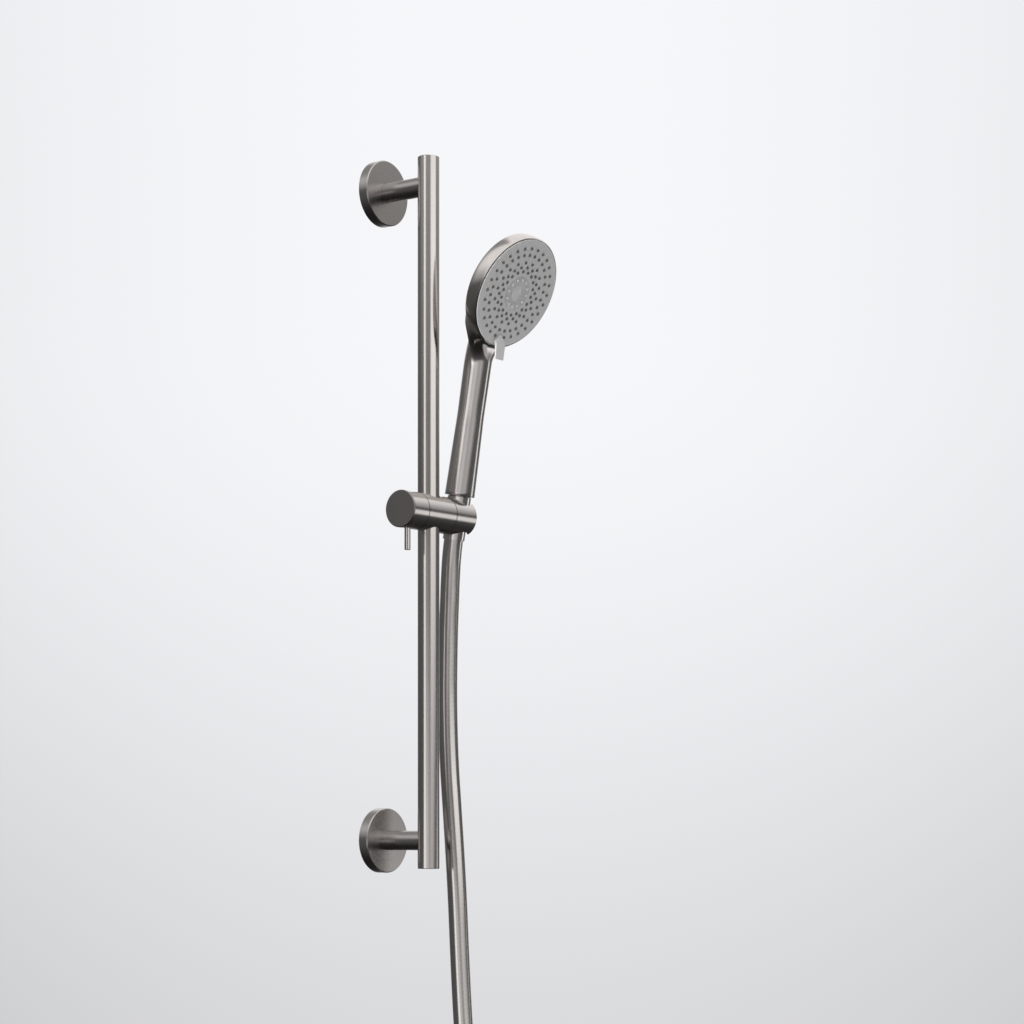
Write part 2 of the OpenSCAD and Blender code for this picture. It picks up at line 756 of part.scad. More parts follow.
module hose_tail() color(steel) swept(TAIL_ROUTE, [for (p = TAIL_ROUTE) hose_r]);

module end_ferrule() color(steel) at_end() difference() {
    union() {
        upright(tail_to - 14, tail_to - 1, ferrule_r, ferrule_r);
        upright(tail_to - 1, tail_to, ferrule_r, ferrule_r - edge_chamfer);
        upright(tail_to - 16.7, tail_to - 13.9, ferrule_neck_r, ferrule_neck_r);
        upright(tail_to - 18.9, tail_to - 16.6, ferrule_flange_r, ferrule_flange_r);
    }
    upright(tail_to - 20, tail_to - 4, hose_r / 2, hose_r / 2);
}

module end_washer() color(dark_rubber) at_end() ring(tail_to - 20.9, tail_to - 19, 5, ferrule_flange_r);

module end_nut() color(steel) at_end() difference() {
    union() {
        upright(tail_to - 31 + edge_chamfer, tail_to - 15.5, end_nut_r, end_nut_r);
        upright(tail_to - 31, tail_to - 31 + edge_chamfer, end_nut_r - edge_chamfer, end_nut_r);
    }
    for (a = [0:30:330]) rotate([0, 0, a]) translate([flute_circle, 0, tail_to - 32])
        cylinder(r = flute_r, h = 20, $fn = SMALL_FN);
    upright(tail_to - 32, tail_to - 21, thread_r, thread_r);
    upright(tail_to - 22, tail_to - 16.5, ferrule_flange_r + slip, ferrule_flange_r + slip);
    upright(tail_to - 22, tail_to - 10, ferrule_neck_r + CLOSE, ferrule_neck_r + CLOSE);
}

rail_tube();
top_cap();
bottom_cap();
upper_insert();
lower_insert();
upper_arm();
lower_arm();
arm_screws();
upper_wall_plate();
lower_wall_plate();
grub_screws();
upper_rosette();
upper_rosette_ring();
lower_rosette();
lower_rosette_ring();
slider_body();
rail_bush();
knob_washer();
friction_disc();
pivot_screw();
brake_pad();
lock_knob();
knob_cap();
lever_pin();
clamp_spindle();
knob_screw();
holder();
holder_liner();
pivot_washer();
hose_nipple();
swivel_ring();
hose_washer();
hose_neck();
handset_shell();
cone_nut();
threaded_insert();
filter_screen();
flow_limiter();
check_valve();
waterway_tube();
water_chamber();
chamber_seal();
detent_spring();
detent_ball();
diverter_disc();
nozzle_mat();
faceplate();
spray_insert();
centre_cap();
centre_screw();
selector_tab();
hose_tube();
hose_hank();
hank_tie();
hose_tail();
end_ferrule();
end_washer();
end_nut();
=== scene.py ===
# %% [markdown]
# # A hand shower on its wall rail
# A shower rail set is turned and polished metal: a rail on two brackets, a slider that grips it, a hand shower
# and a hose. The mechanical pieces come from the CAD frame and only get their finish here. The pieces whose
# beauty is in a flowing surface are made here: the hand shower's shell, its nozzles, the tab and the hose.

import json
from math import cos, pi, radians, sin, tau

import bmesh
import bpy
import numpy as np
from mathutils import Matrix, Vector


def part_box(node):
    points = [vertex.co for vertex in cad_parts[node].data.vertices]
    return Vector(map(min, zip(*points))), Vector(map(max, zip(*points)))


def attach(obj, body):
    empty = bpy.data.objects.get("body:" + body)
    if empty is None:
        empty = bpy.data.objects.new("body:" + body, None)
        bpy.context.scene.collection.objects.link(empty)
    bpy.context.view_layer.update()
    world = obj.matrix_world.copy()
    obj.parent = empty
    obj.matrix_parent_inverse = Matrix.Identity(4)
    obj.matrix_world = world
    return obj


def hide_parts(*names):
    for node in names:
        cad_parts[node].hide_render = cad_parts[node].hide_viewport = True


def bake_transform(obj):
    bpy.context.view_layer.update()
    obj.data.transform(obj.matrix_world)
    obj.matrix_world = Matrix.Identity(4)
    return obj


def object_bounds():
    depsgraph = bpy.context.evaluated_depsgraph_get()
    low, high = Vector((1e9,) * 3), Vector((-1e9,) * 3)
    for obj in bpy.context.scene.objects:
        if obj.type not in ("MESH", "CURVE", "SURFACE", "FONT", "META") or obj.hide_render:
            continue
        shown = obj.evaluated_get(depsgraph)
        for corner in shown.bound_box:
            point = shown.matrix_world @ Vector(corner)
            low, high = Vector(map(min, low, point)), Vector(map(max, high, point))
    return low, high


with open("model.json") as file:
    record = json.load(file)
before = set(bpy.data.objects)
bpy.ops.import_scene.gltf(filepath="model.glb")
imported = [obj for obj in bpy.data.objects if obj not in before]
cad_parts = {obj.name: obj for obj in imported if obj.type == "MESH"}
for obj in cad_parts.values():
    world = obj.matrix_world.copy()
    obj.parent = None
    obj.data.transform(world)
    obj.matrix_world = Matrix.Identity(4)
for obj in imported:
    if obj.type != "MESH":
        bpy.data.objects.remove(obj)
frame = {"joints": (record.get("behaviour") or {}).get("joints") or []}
cad_box = [[float(v) for v in corner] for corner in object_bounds()]
scene = bpy.context.scene
joints = {joint["name"]: joint for joint in frame["joints"]}
MM = 0.001

# %% [markdown]
# ## The camera
# The set is seen from its left and from the height of the lower bracket. The camera is level, so the rail stays
# upright in the picture, and the lens is shifted upwards, as an architect's camera is, to bring in the top.

# %% A level camera with a shifted lens
BRACKET_Z = (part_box("upper_arm")[0].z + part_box("upper_arm")[1].z) / 2
VIEW_TURN = radians(53.38)
CAMERA_X, CAMERA_Y = -1.882, -1.552
camera_data = bpy.data.cameras.new("camera")
camera_data.lens = 92.15
camera_data.sensor_width = 36
camera_data.shift_y = 0.3207
camera = bpy.data.objects.new("camera", camera_data)
camera.location = (CAMERA_X, CAMERA_Y, -BRACKET_Z)
camera.rotation_euler = (pi / 2, 0, -VIEW_TURN)
scene.collection.objects.link(camera)
scene.camera = camera
print("camera at", tuple(round(v, 3) for v in camera.location))

# %% [markdown]
# ## Surfaces from arrays
# Each new piece is a grid of points: rows along it and columns around it. A row can close to a point, a pole,
# so that the piece has no hole. One function turns such a grid into a mesh.

# %% A mesh from grids of points
def grid_faces(rows, columns, first=0):
    """The four-cornered faces of a grid whose columns close into a ring, as rows of four point numbers."""
    row = np.arange(rows - 1)[:, None] * columns
    here = np.arange(columns)[None, :]
    after = (here + 1) % columns
    corners = [row + here, row + after, row + columns + after, row + columns + here]
    return first + np.stack(corners, axis=-1).reshape(-1, 4)


def fan_faces(ring, pole, columns):
    """Triangles from a ring's points, which start at number ring, to one pole point."""
    here = np.arange(columns)
    return np.stack([ring + here, ring + (here + 1) % columns, np.full(columns, pole)], axis=-1)


class Shape:
    """Collects closed surfaces, and makes one mesh object of them."""

    def __init__(self):
        self.points, self.faces, self.count = [], [], 0

    def add(self, grid):
        """Adds a grid of rows, each a closed ring, and closes both ends with a pole in the ring's middle."""
        rows, columns, _ = grid.shape
        first, pole = self.count, self.count + rows * columns
        ends = [grid[0].mean(axis=0), grid[-1].mean(axis=0)]
        self.points += [grid.reshape(-1, 3), np.array(ends)]
        self.faces += grid_faces(rows, columns, first).tolist()
        self.faces += fan_faces(first, pole, columns).tolist()
        self.faces += fan_faces(pole - columns, pole + 1, columns).tolist()
        self.count = pole + 2
        return self

    def make(self, name, body, slot, sharp=radians(32)):
        """Writes the mesh with outward faces and smooth shading that breaks at edges sharper than an angle."""
        mesh = bpy.data.meshes.new(name)
        mesh.from_pydata(np.concatenate(self.points).tolist(), [], self.faces)
        work = bmesh.new()
        work.from_mesh(mesh)
        bmesh.ops.remove_doubles(work, verts=work.verts, dist=1e-7)
        bmesh.ops.recalc_face_normals(work, faces=work.faces)
        work.to_mesh(mesh)
        work.free()
        mesh.polygons.foreach_set("use_smooth", np.ones(len(mesh.polygons), bool))
        mesh.set_sharp_from_angle(angle=sharp)
        piece = bpy.data.objects.new(name, mesh)
        scene.collection.objects.link(piece)
        if body:
            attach(piece, body)
        print(name, "has", len(mesh.polygons), "faces")
        return piece


# %% Frames to place shapes in, and a profile turned about an axis
class Place:
    """A frame in space: an origin and three axes. Its call carries points from that frame into the room."""

    def __init__(self, origin, z_axis, x_axis=(1, 0, 0)):
        z_axis = np.array(z_axis, float) / np.linalg.norm(z_axis)
        x_axis = np.array(x_axis, float)
        x_axis = x_axis - z_axis * (x_axis @ z_axis)
        x_axis = x_axis / np.linalg.norm(x_axis)
        self.origin = np.array(origin, float)
        self.axes = np.array([x_axis, np.cross(z_axis, x_axis), z_axis])

    def __call__(self, points):
        return self.origin + np.asarray(points, float) @ self.axes


def turned(profile, columns=96):
    """A profile of [radius, height] carried round the z axis: x = r cos a, y = r sin a, z = height."""
    profile = np.array(profile, float)
    angle = np.arange(columns) * tau / columns
    ring = np.stack([np.cos(angle), np.sin(angle)], axis=-1)
    flat = profile[:, None, :1] * ring[None]
    height = np.repeat(profile[:, None, 1:], columns, axis=1)
    return np.concatenate([flat, height], axis=-1)


def arc(centre, radius, start, end, count):
    """Points on an arc: centre + radius (cos a, sin a), for angles in degrees from start to end."""
    angle = np.radians(np.linspace(start, end, count))
    return np.array(centre) + radius * np.stack([np.cos(angle), np.sin(angle)], axis=-1)


handle = Place(joints["handset_turn"]["pos_m"], joints["handset_turn"]["axis"])
face = Place(joints["selector_turn"]["pos_m"], joints["selector_turn"]["axis"])
print("the face looks along", face.axes[2].round(3))

# %% [markdown]
# ## The hose
# A shower hose is a smooth plastic tube of one and a half metres. It leaves the nut under the holder, hangs in
# front of the rail, and the rest of it is folded into a hank below, held by a strap. Its route is a list of points,
# given one by one, with the hank's folds as half circles. The tube is a circle carried along the smooth curve.

# %% The route of the hose
HOSE_D = 0.018
HOSE_X = float(handle.origin[0])
HANG = [
    (-54.35, -20.7), (-54.1, -22), (-52.8, -31), (-51.6, -42), (-50.75, -54.5), (-50.2, -64), (-49.5, -80),
    (-48.4, -105), (-47.7, -135), (-47.4, -165), (-48.1, -200), (-49.8, -235), (-52.2, -265), (-54.6, -295),
    (-57, -327), (-59.1, -360), (-61.2, -400), (-63.2, -435), (-65.6, -470), (-68, -498), (-68.9, -512),
]
TAIL = [(-50.6, -585), (-50.6, -606), (-49.7, -614), (-47, -627), (-46, -635), (-46, -642.5)]
FOLD_R = 0.054
FOLD_TOP, FOLD_LOW = -0.543, -0.813
FRONT_Y, BACK_Y = -0.069, -0.0506
RUN_TOP, CROSS_LOW, CROSS_HIGH, RUN_GAP = -0.528, -0.72, -0.69, 0.03
FOLD_POINTS = 13


def fold(height, y, start, end):
    """A half circle of the hank, about the middle between its two sides, in a plane along the wall."""
    flat = arc((HOSE_X + FOLD_R, height), FOLD_R, start, end, FOLD_POINTS)
    return np.stack([flat[:, 0], np.full(FOLD_POINTS, y), flat[:, 1]], axis=-1)


def hanging(points):
    """Listed points in millimetres, as [y, z] in the plane of the holder."""
    points = np.array(points) * MM
    return np.insert(points, 0, HOSE_X, axis=1)


def run(x, y0, y1, z0, z1, count):
    """Points on a straight run of the hank; it crosses from one layer to the other with a smooth step."""
    t = np.linspace(0, 1, count)[:, None]
    step = t * t * (3 - 2 * t)
    return np.concatenate([np.full_like(t, x), y0 + (y1 - y0) * step, z0 + (z1 - z0) * t], axis=1)


RIGHT_X = HOSE_X + 2 * FOLD_R
route = np.concatenate([
    hanging(HANG),
    run(HOSE_X, FRONT_Y, FRONT_Y, RUN_TOP, FOLD_LOW + RUN_GAP, 9),
    fold(FOLD_LOW, FRONT_Y, 180, 360),
    run(RIGHT_X, FRONT_Y, FRONT_Y, FOLD_LOW + RUN_GAP, CROSS_LOW, 4),
    run(RIGHT_X, FRONT_Y, BACK_Y, CROSS_HIGH, FOLD_TOP - 0.02, 6),
    fold(FOLD_TOP, BACK_Y, 0, 180),
    hanging(TAIL),
])

print("the route has", len(route), "points")


# %% A smooth curve through the route, cut into equal steps
CUTS, RING_STEP = 12, 0.004


def smooth_path(points, step):
    """A smooth curve through points (each stretch is the cubic whose ends keep the slope between neighbours),
    cut into equal steps along its length."""
    padded = np.concatenate([[2 * points[0] - points[1]], points, [2 * points[-1] - points[-2]]])
    gap = np.linalg.norm(np.diff(padded, axis=0), axis=1)[:, None]
    slope = (padded[2:] - padded[:-2]) / (gap[1:] + gap[:-1])
    t = np.linspace(0, 1, CUTS, endpoint=False)[None, :, None]
    start, end, length = points[:-1, None], points[1:, None], gap[1:-1, None]
    cubic = (
        (2 * t**3 - 3 * t**2 + 1) * start + (3 * t**2 - 2 * t**3) * end
        + (t**3 - 2 * t**2 + t) * length * slope[:-1, None] + (t**3 - t**2) * length * slope[1:, None]
    )
    fine = np.concatenate([cubic.reshape(-1, 3), points[-1:]])
    along = np.concatenate([[0], np.cumsum(np.linalg.norm(np.diff(fine, axis=0), axis=1))])
    even = np.linspace(0, along[-1], int(along[-1] / step) + 1)
    return np.stack([np.interp(even, along, fine[:, k]) for k in range(3)], axis=-1), along[-1]


path, hose_length = smooth_path(route, RING_STEP)
print("the hose is", round(hose_length, 3), "m long, in", len(path), "rings")


# %% The tube itself, with a map of its surface
def tube_grid(path, radius, columns):
    """A circle of that radius at each point of a path: point + r (side cos a + across sin a), square to the path."""
    along = np.gradient(path, axis=0)
    along = along / np.linalg.norm(along, axis=1, keepdims=True)
    side = np.cross(along, [0, 1, 0])
    side = side / np.linalg.norm(side, axis=1, keepdims=True)
    across = np.cross(side, along)
    angle = (np.arange(columns) * tau / columns)[None, :, None]
    return path[:, None] + radius * (np.cos(angle) * side[:, None] + np.sin(angle) * across[:, None])


inside_nut = path[0] + (path[0] - path[1]) * np.array([[1.0], [0.5]])
hose = Shape().add(tube_grid(np.concatenate([inside_nut, path]), HOSE_D / 2, 40)).make(
    "shower_hose", None, "hose_sheath", sharp=radians(60)
)
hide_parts("hose_neck", "hose_tube", "hose_hank", "hose_tail")
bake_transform(hose)

# %% [markdown]
# ## The hand shower's shell
# The shell is plated plastic: a long handle that is slimmer in its middle, and a flat round head. The head is a
# profile turned about the middle of the spray face. The handle is a grid of rings that ends on the head's back:
# each of its lengthwise lines leaves the handle along the handle, and meets the head along the head's surface, so
# the two flow into each other. A cubic with given slopes at both ends does that.

# %% The head: a domed back, a rounded edge, a crowned rim and the recess for the faceplate
HEAD_R, DOME_H, EDGE_R = 52.7, 8.0, 2.6
RIM_CROWN, RIM_MIDDLE, RIM_TILT, RIM_FRONT_TILT = 36.0, -7.0, 10.0, 9.4
LIP_R, RECESS_R, RECESS_DEPTH, INSIDE_R, INSIDE_DEPTH = 0.25, 51.15, 3.3, 49.0, 15.4
dome_sphere = (HEAD_R**2 + DOME_H**2) / (2 * DOME_H)
rim = arc((HEAD_R - RIM_CROWN, RIM_MIDDLE), RIM_CROWN, -RIM_TILT, RIM_FRONT_TILT, 9)
edge_centre = rim[0] - EDGE_R * np.array([cos(radians(RIM_TILT)), -sin(radians(RIM_TILT))])
edge_turn = np.degrees(np.arcsin(edge_centre[0] / (dome_sphere - EDGE_R)))
dome_top = edge_centre[1] + (dome_sphere - EDGE_R) * cos(radians(edge_turn))
dome = arc((0, dome_top), dome_sphere, -90, -90 + edge_turn, 30)
head_back = np.concatenate([dome, arc(edge_centre, EDGE_R, -90 + edge_turn, -RIM_TILT, 8)[1:-1], rim])
head_front = np.concatenate([
    arc(rim[-1] - [LIP_R, 0], LIP_R, 20, 90, 4),
    [[RECESS_R + 0.15, -0.65], [RECESS_R, -0.8], [RECESS_R, -RECESS_DEPTH]],
    [[INSIDE_R, -RECESS_DEPTH - 0.1], [INSIDE_R, -INSIDE_DEPTH], [1, -INSIDE_DEPTH]],
])
shell = Shape().add(face(turned(np.concatenate([head_back, head_front])[1:] * MM, 144)))
print("the head is", 2 * HEAD_R, "mm across; its dome is part of a ball of radius", round(dome_sphere), "mm")

# %% The handle, blended into the head's back
HANDLE_LOW, WAIST_AT, HANDLE_TOP, WAIST_BLEND = 20.0, 95.0, 150.0, 30.0
HANDLE_R, WAIST_R, TOP_R, BORE_R = 14.0, 12.5, 12.9, 10.45
COLUMNS = 96
turn = np.arange(COLUMNS) * tau / COLUMNS


def handle_radius(s):
    """The handle's radius: a straight taper down to the waist and a slight swell above it, with a soft join."""
    below = HANDLE_R + (WAIST_R - HANDLE_R) * (s - HANDLE_LOW) / (WAIST_AT - HANDLE_LOW)
    above = WAIST_R + (TOP_R - WAIST_R) * (s - WAIST_AT) / (HANDLE_TOP - WAIST_AT)
    mix = np.clip((s - WAIST_AT + WAIST_BLEND / 2) / WAIST_BLEND, 0, 1)
    mix = mix * mix * (3 - 2 * mix)
    return below * (1 - mix) + above * mix


def handle_rings(s, shrink=0.0):
    """Rings round the handle's axis; s is the station of every point, as rows of columns."""
    radius = handle_radius(s) - shrink
    return np.stack([radius * np.cos(turn), -radius * np.sin(turn), s], axis=-1)


def on_head(flat):
    """Carries points of a flat plan of the head's back on to the head: the plan's distance from the middle becomes
    the length along the head's profile, which runs out over the dome, round the edge and up the rim."""
    reach = np.linalg.norm(flat, axis=-1)
    along = np.concatenate([[0], np.cumsum(np.linalg.norm(np.diff(head_back, axis=0), axis=1))])
    radius = np.interp(reach, along, head_back[:, 0])
    height = np.interp(reach, along, head_back[:, 1])
    return np.concatenate([flat / reach[..., None] * radius[..., None], height[..., None]], axis=-1)


print("the handle's waist has a radius of", round(float(handle_radius(WAIST_AT)), 2), "mm")

# %% The neck: where it leaves the handle, where it meets the head, and the cubic between
FOOT_SIDE, FOOT_LENGTH, FOOT_MIDDLE = 41.0, 32.6, -32.0
ROOT_PULL, FOOT_PULL = 1.2, 0.8
NECK_STARTS, SIDES_SOONER, FRONT_LATER, FRONT_FULLER = 146, 10, 4, 5
SHOULDER, PLAN_STEP, SINK = 0.75, 0.1, 1.2
sideways, forward = np.cos(turn), np.sin(turn)
root_s = NECK_STARTS - SIDES_SOONER * sideways**2 + FRONT_LATER * forward
root_s = root_s - FRONT_FULLER * np.clip(forward, 0, 1) ** 4
sideways_share = np.sign(sideways) * np.abs(sideways) ** SHOULDER
plan = np.stack([FOOT_SIDE * sideways_share, FOOT_MIDDLE - FOOT_LENGTH * forward], axis=-1)
outward = np.stack([sideways / FOOT_SIDE, -forward / FOOT_LENGTH], axis=-1)
outward = outward / np.linalg.norm(outward, axis=-1, keepdims=True)
foot = face(on_head(plan) * MM)
further, nearer = (face(on_head(plan + way * PLAN_STEP * outward) * MM) for way in (1, -1))
foot_slope = (further - nearer) / (2 * PLAN_STEP * MM)
root = handle(handle_rings(root_s) * MM)
root_slope = np.broadcast_to(handle.axes[2], root.shape)
chord = np.linalg.norm(foot - root, axis=-1, keepdims=True)
v = np.linspace(0, 1, 34)[1:, None, None]
neck = (
    (2 * v**3 - 3 * v**2 + 1) * root + (3 * v**2 - 2 * v**3) * foot
    + (v**3 - 2 * v**2 + v) * chord * ROOT_PULL * root_slope + (v**3 - v**2) * chord * FOOT_PULL * foot_slope
)
print("the neck has", len(neck), "rings; it spans", chord.min().round(3), "to", chord.max().round(3), "m")

# %% The handle's low end with its bore and rounded edge, its length, and the whole shell
BORE_DEPTH, END_EDGE, END_ROUND = 14, 0.4, 0.12
wall = handle_radius(HANDLE_LOW) - BORE_R
end_s = HANDLE_LOW + np.array([BORE_DEPTH, 0, 0, END_ROUND, END_EDGE])
end_shrink = np.array([wall, wall, END_EDGE, END_ROUND, 0])
low_end = handle(handle_rings(end_s[:, None] * np.ones(COLUMNS), end_shrink[:, None]) * MM)
share = np.linspace(0, 1, 44)[1:, None]
body_s = end_s[-1] + (root_s[None] - end_s[-1]) * share
handle_body = handle(handle_rings(body_s) * MM)
# the last ring lies just under the head's surface, so that the pole which closes the neck is out of sight
sunk = face(on_head(plan) * MM + np.array([0, 0, SINK * MM]))
shell.add(np.concatenate([low_end, handle_body, neck, sunk[None]]))
shell.make("hand_shower_shell", "handset", "gunmetal_plated_shell")
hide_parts("handset_shell")

# %% [markdown]
# ## The spray face
# Soft nozzles stand a millimetre proud of the faceplate, so that lime can be rubbed off. Each is a small turned
# cone with a rounded tip and a hole. The dark ones belong to one mat of silicone, the clear ones to the insert.

# %% Where the nozzles stand
def circle_of(count, radius, start, pitch):
    """Points on a circle, a pitch apart in degrees, as [x, y] in millimetres."""
    angle = np.radians(start + pitch * np.arange(count))
    return radius * np.stack([np.cos(angle), np.sin(angle)], axis=-1)


dark_nozzles = np.concatenate([
    circle_of(28, 42.6, 278.9, 342.2 / 27), circle_of(30, 36.3, 0, 12), circle_of(18, 29.1, 0, 20),
    circle_of(18, 24.75, 10, 20), circle_of(18, 20.7, 0, 20),
])
clear_nozzles = circle_of(12, 12.8, 0, 30)
print(len(dark_nozzles), "dark nozzles and", len(clear_nozzles), "clear ones")


# %% One nozzle, repeated, and the mat under the dark ones
TIP_ROUND, HOLE_DEPTH = 0.25, 0.9


def nozzles(shape, places, base, foot_r, tip_r, top, hole_r, columns=14):
    """Adds a turned cone with a rounded tip and a blind hole at each place."""
    profile = np.concatenate([
        [[foot_r, base], [foot_r, 0.05]],
        arc((tip_r - TIP_ROUND, top - TIP_ROUND), TIP_ROUND, 20, 90, 3),
        [[hole_r, top - 0.05], [hole_r, top - HOLE_DEPTH]],
    ])
    cone = turned(profile, columns)
    for place in places:
        shape.add(face((cone + np.array([*place, 0])) * MM))
    return shape


MAT_R, MAT_HOLE_R, MAT_BACK, MAT_FRONT = 47.9, 17, -4.9, -3.15
mat_profile = [
    [MAT_HOLE_R, MAT_BACK], [MAT_R, MAT_BACK], [MAT_R, MAT_FRONT], [MAT_HOLE_R, MAT_FRONT],
    [MAT_HOLE_R - 0.3, MAT_FRONT - 0.15], [MAT_HOLE_R - 0.3, MAT_BACK + 0.1],
]
mat = Shape().add(face(turned(np.array(mat_profile) * MM)))
mat = nozzles(mat, dark_nozzles, base=-3.2, foot_r=1.56, tip_r=1.3, top=1.0, hole_r=0.45)
mat = mat.make("soft_nozzles", "spray_face", "grey_silicone", sharp=radians(50))
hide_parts("nozzle_mat")

# %% The clear insert with its dish
INSERT_R, INSERT_HOLE_R, FLANGE_R, FLANGE_FRONT = 16.0, 3.2, 16.5, -3.25
DISH_DEPTH, SEAT_DEPTH, EDGE = 0.12, 0.02, 0.15
dish = np.concatenate([
    [[INSERT_HOLE_R, MAT_BACK], [FLANGE_R, MAT_BACK], [FLANGE_R, FLANGE_FRONT], [INSERT_R, FLANGE_FRONT]],
    [[INSERT_R, -EDGE], [INSERT_R - EDGE, 0], [15.2, 0.0], [14.8, -DISH_DEPTH], [9.4, -DISH_DEPTH]],
    [[8.9, -SEAT_DEPTH], [8.0, -SEAT_DEPTH], [INSERT_HOLE_R, -SEAT_DEPTH]],
])
insert = Shape().add(face(turned(dish * MM)))
insert = nozzles(insert, clear_nozzles, base=-1, foot_r=1.6, tip_r=1.2, top=0.9, hole_r=0.55, columns=20)
insert = insert.make("clear_insert", "spray_face", "clear_insert", sharp=radians(40))
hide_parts("spray_insert")

# %% The smooth cap in the middle, part of a ball
CAP_R, CAP_HIGH, CAP_EDGE = 8.0, 2.6, 0.3
cap_sphere = (CAP_R**2 + (CAP_HIGH - CAP_EDGE) ** 2) / (2 * (CAP_HIGH - CAP_EDGE))
cap_half = np.degrees(np.arcsin(CAP_R / cap_sphere))
cap_top = arc((0, CAP_HIGH - cap_sphere), cap_sphere, 90 - cap_half, 89.5, 14)
cap_profile = np.concatenate([[[0.3, 0.0], [CAP_R, 0.0]], cap_top])
cap = Shape().add(face(turned(cap_profile * MM, 64)))
cap = cap.make("centre_dome", "spray_face", "pale_grey_cap")
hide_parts("centre_cap")

# %% [markdown]
# ## The selector tab
# The tab is a small moulded arrow that rises from the face as a wedge and ends, past the rim, in a thin lever for
# the thumb. Its outline is drawn once. Every ring of its surface is that outline, drawn in a little or a lot, and
# lifted to a height between two curves: its underside and its top, as a side view would show them.

# %% The tab's outline, raised to a wedge that ends in a thumb lever
half_outline = np.array([
    (0, -40.4), (2.3, -41.7), (5.0, -44.6), (6.3, -47.2), (6.4, -49.5), (6.0, -60.3), (5.4, -60.95),
])
outline = np.concatenate([half_outline, (half_outline * [-1, 1])[::-1][:-1]])
stretch = np.linspace(0, 1, 7)[:-1, None, None]
dense = outline[None] * (1 - stretch) + np.roll(outline, -1, axis=0)[None] * stretch
dense = dense.transpose(1, 0, 2).reshape(-1, 2)
middle = np.array([0, -51.5])
UNDERSIDE = [(40.4, 0.02), (46.5, 0.02), (50, 3.7), (61, 8.9)]
TOPSIDE = [(40.4, 0.6), (43.6, 3.2), (45.4, 4.4), (47.4, 5.2), (61, 10.3)]


def tab_ring(share, inset, towards_middle=0.0):
    """The outline at a share of the wedge's height: underside + share (top - underside), both read at the distance
    from the face's middle. Inset draws it in by millimetres, the other by a share of the way to the middle."""
    inward = middle - dense
    reach = np.linalg.norm(inward, axis=1, keepdims=True)
    ring = dense + inward * (inset / reach + towards_middle)
    under, top = (np.interp(-ring[:, 1], *zip(*side)) for side in (UNDERSIDE, TOPSIDE))
    return np.column_stack([ring, under + (top - under) * share])


shares_in = np.linspace(0.08, 0.96, 9)
underside = [tab_ring(0, 0.3, t) for t in shares_in[::-1]] + [tab_ring(0, 0.3)]
side = [tab_ring(0.08, 0), tab_ring(0.85, 0), tab_ring(0.95, 0.15)]
topside = [tab_ring(1, 0.5)] + [tab_ring(1, 0.5, t) for t in shares_in]
tab_grid = np.stack(underside + side + topside)
tab = Shape().add(face(tab_grid * MM))
tab = tab.make("selector_tab_arrow", "spray_face", "pale_grey_tab", sharp=radians(40))
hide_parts("selector_tab")

# %% [markdown]
# ## Finishes as expressions
# A material is a small graph of nodes. To keep its maths readable, a wire from a node can be added, multiplied and
# so on like a number, and each such step adds one Math node. Any other node comes from one method.

# %% A wire that can be reckoned with
class Wire:
    """One output of a node, with the arithmetic that the finishes use."""

    def __init__(self, graph, socket):
        self.graph, self.socket = graph, socket

    def _math(self, operation, *values):
        return self.graph.node("Math", {"operation": operation}, dict(enumerate(values)))

    def __add__(self, other):
        return self._math("ADD", self, other)

    def __sub__(self, other):
        return self._math("SUBTRACT", self, other)

    def __rsub__(self, other):
        return self._math("SUBTRACT", other, self)

    def __mul__(self, other):
        return self._math("MULTIPLY", self, other)

    __radd__ = __add__
    __rmul__ = __mul__

    def sine(self):
        return self._math("SINE", self)

    def step(self, low, high):
        """0 below low, 1 above high, and a smooth rise between them."""
        return self.graph.node(
            "MapRange", {"interpolation_type": "SMOOTHSTEP"}, {"Value": self, "From Min": low, "From Max": high}
        )

    def band(self, low, high, soft):
        """1 between low and high, 0 outside, with soft flanks."""
        return self.step(low - soft, low + soft) * (1 - self.step(high - soft, high + soft))


print("a wire can be used with", [name for name in vars(Wire) if name.startswith("__")][2:])


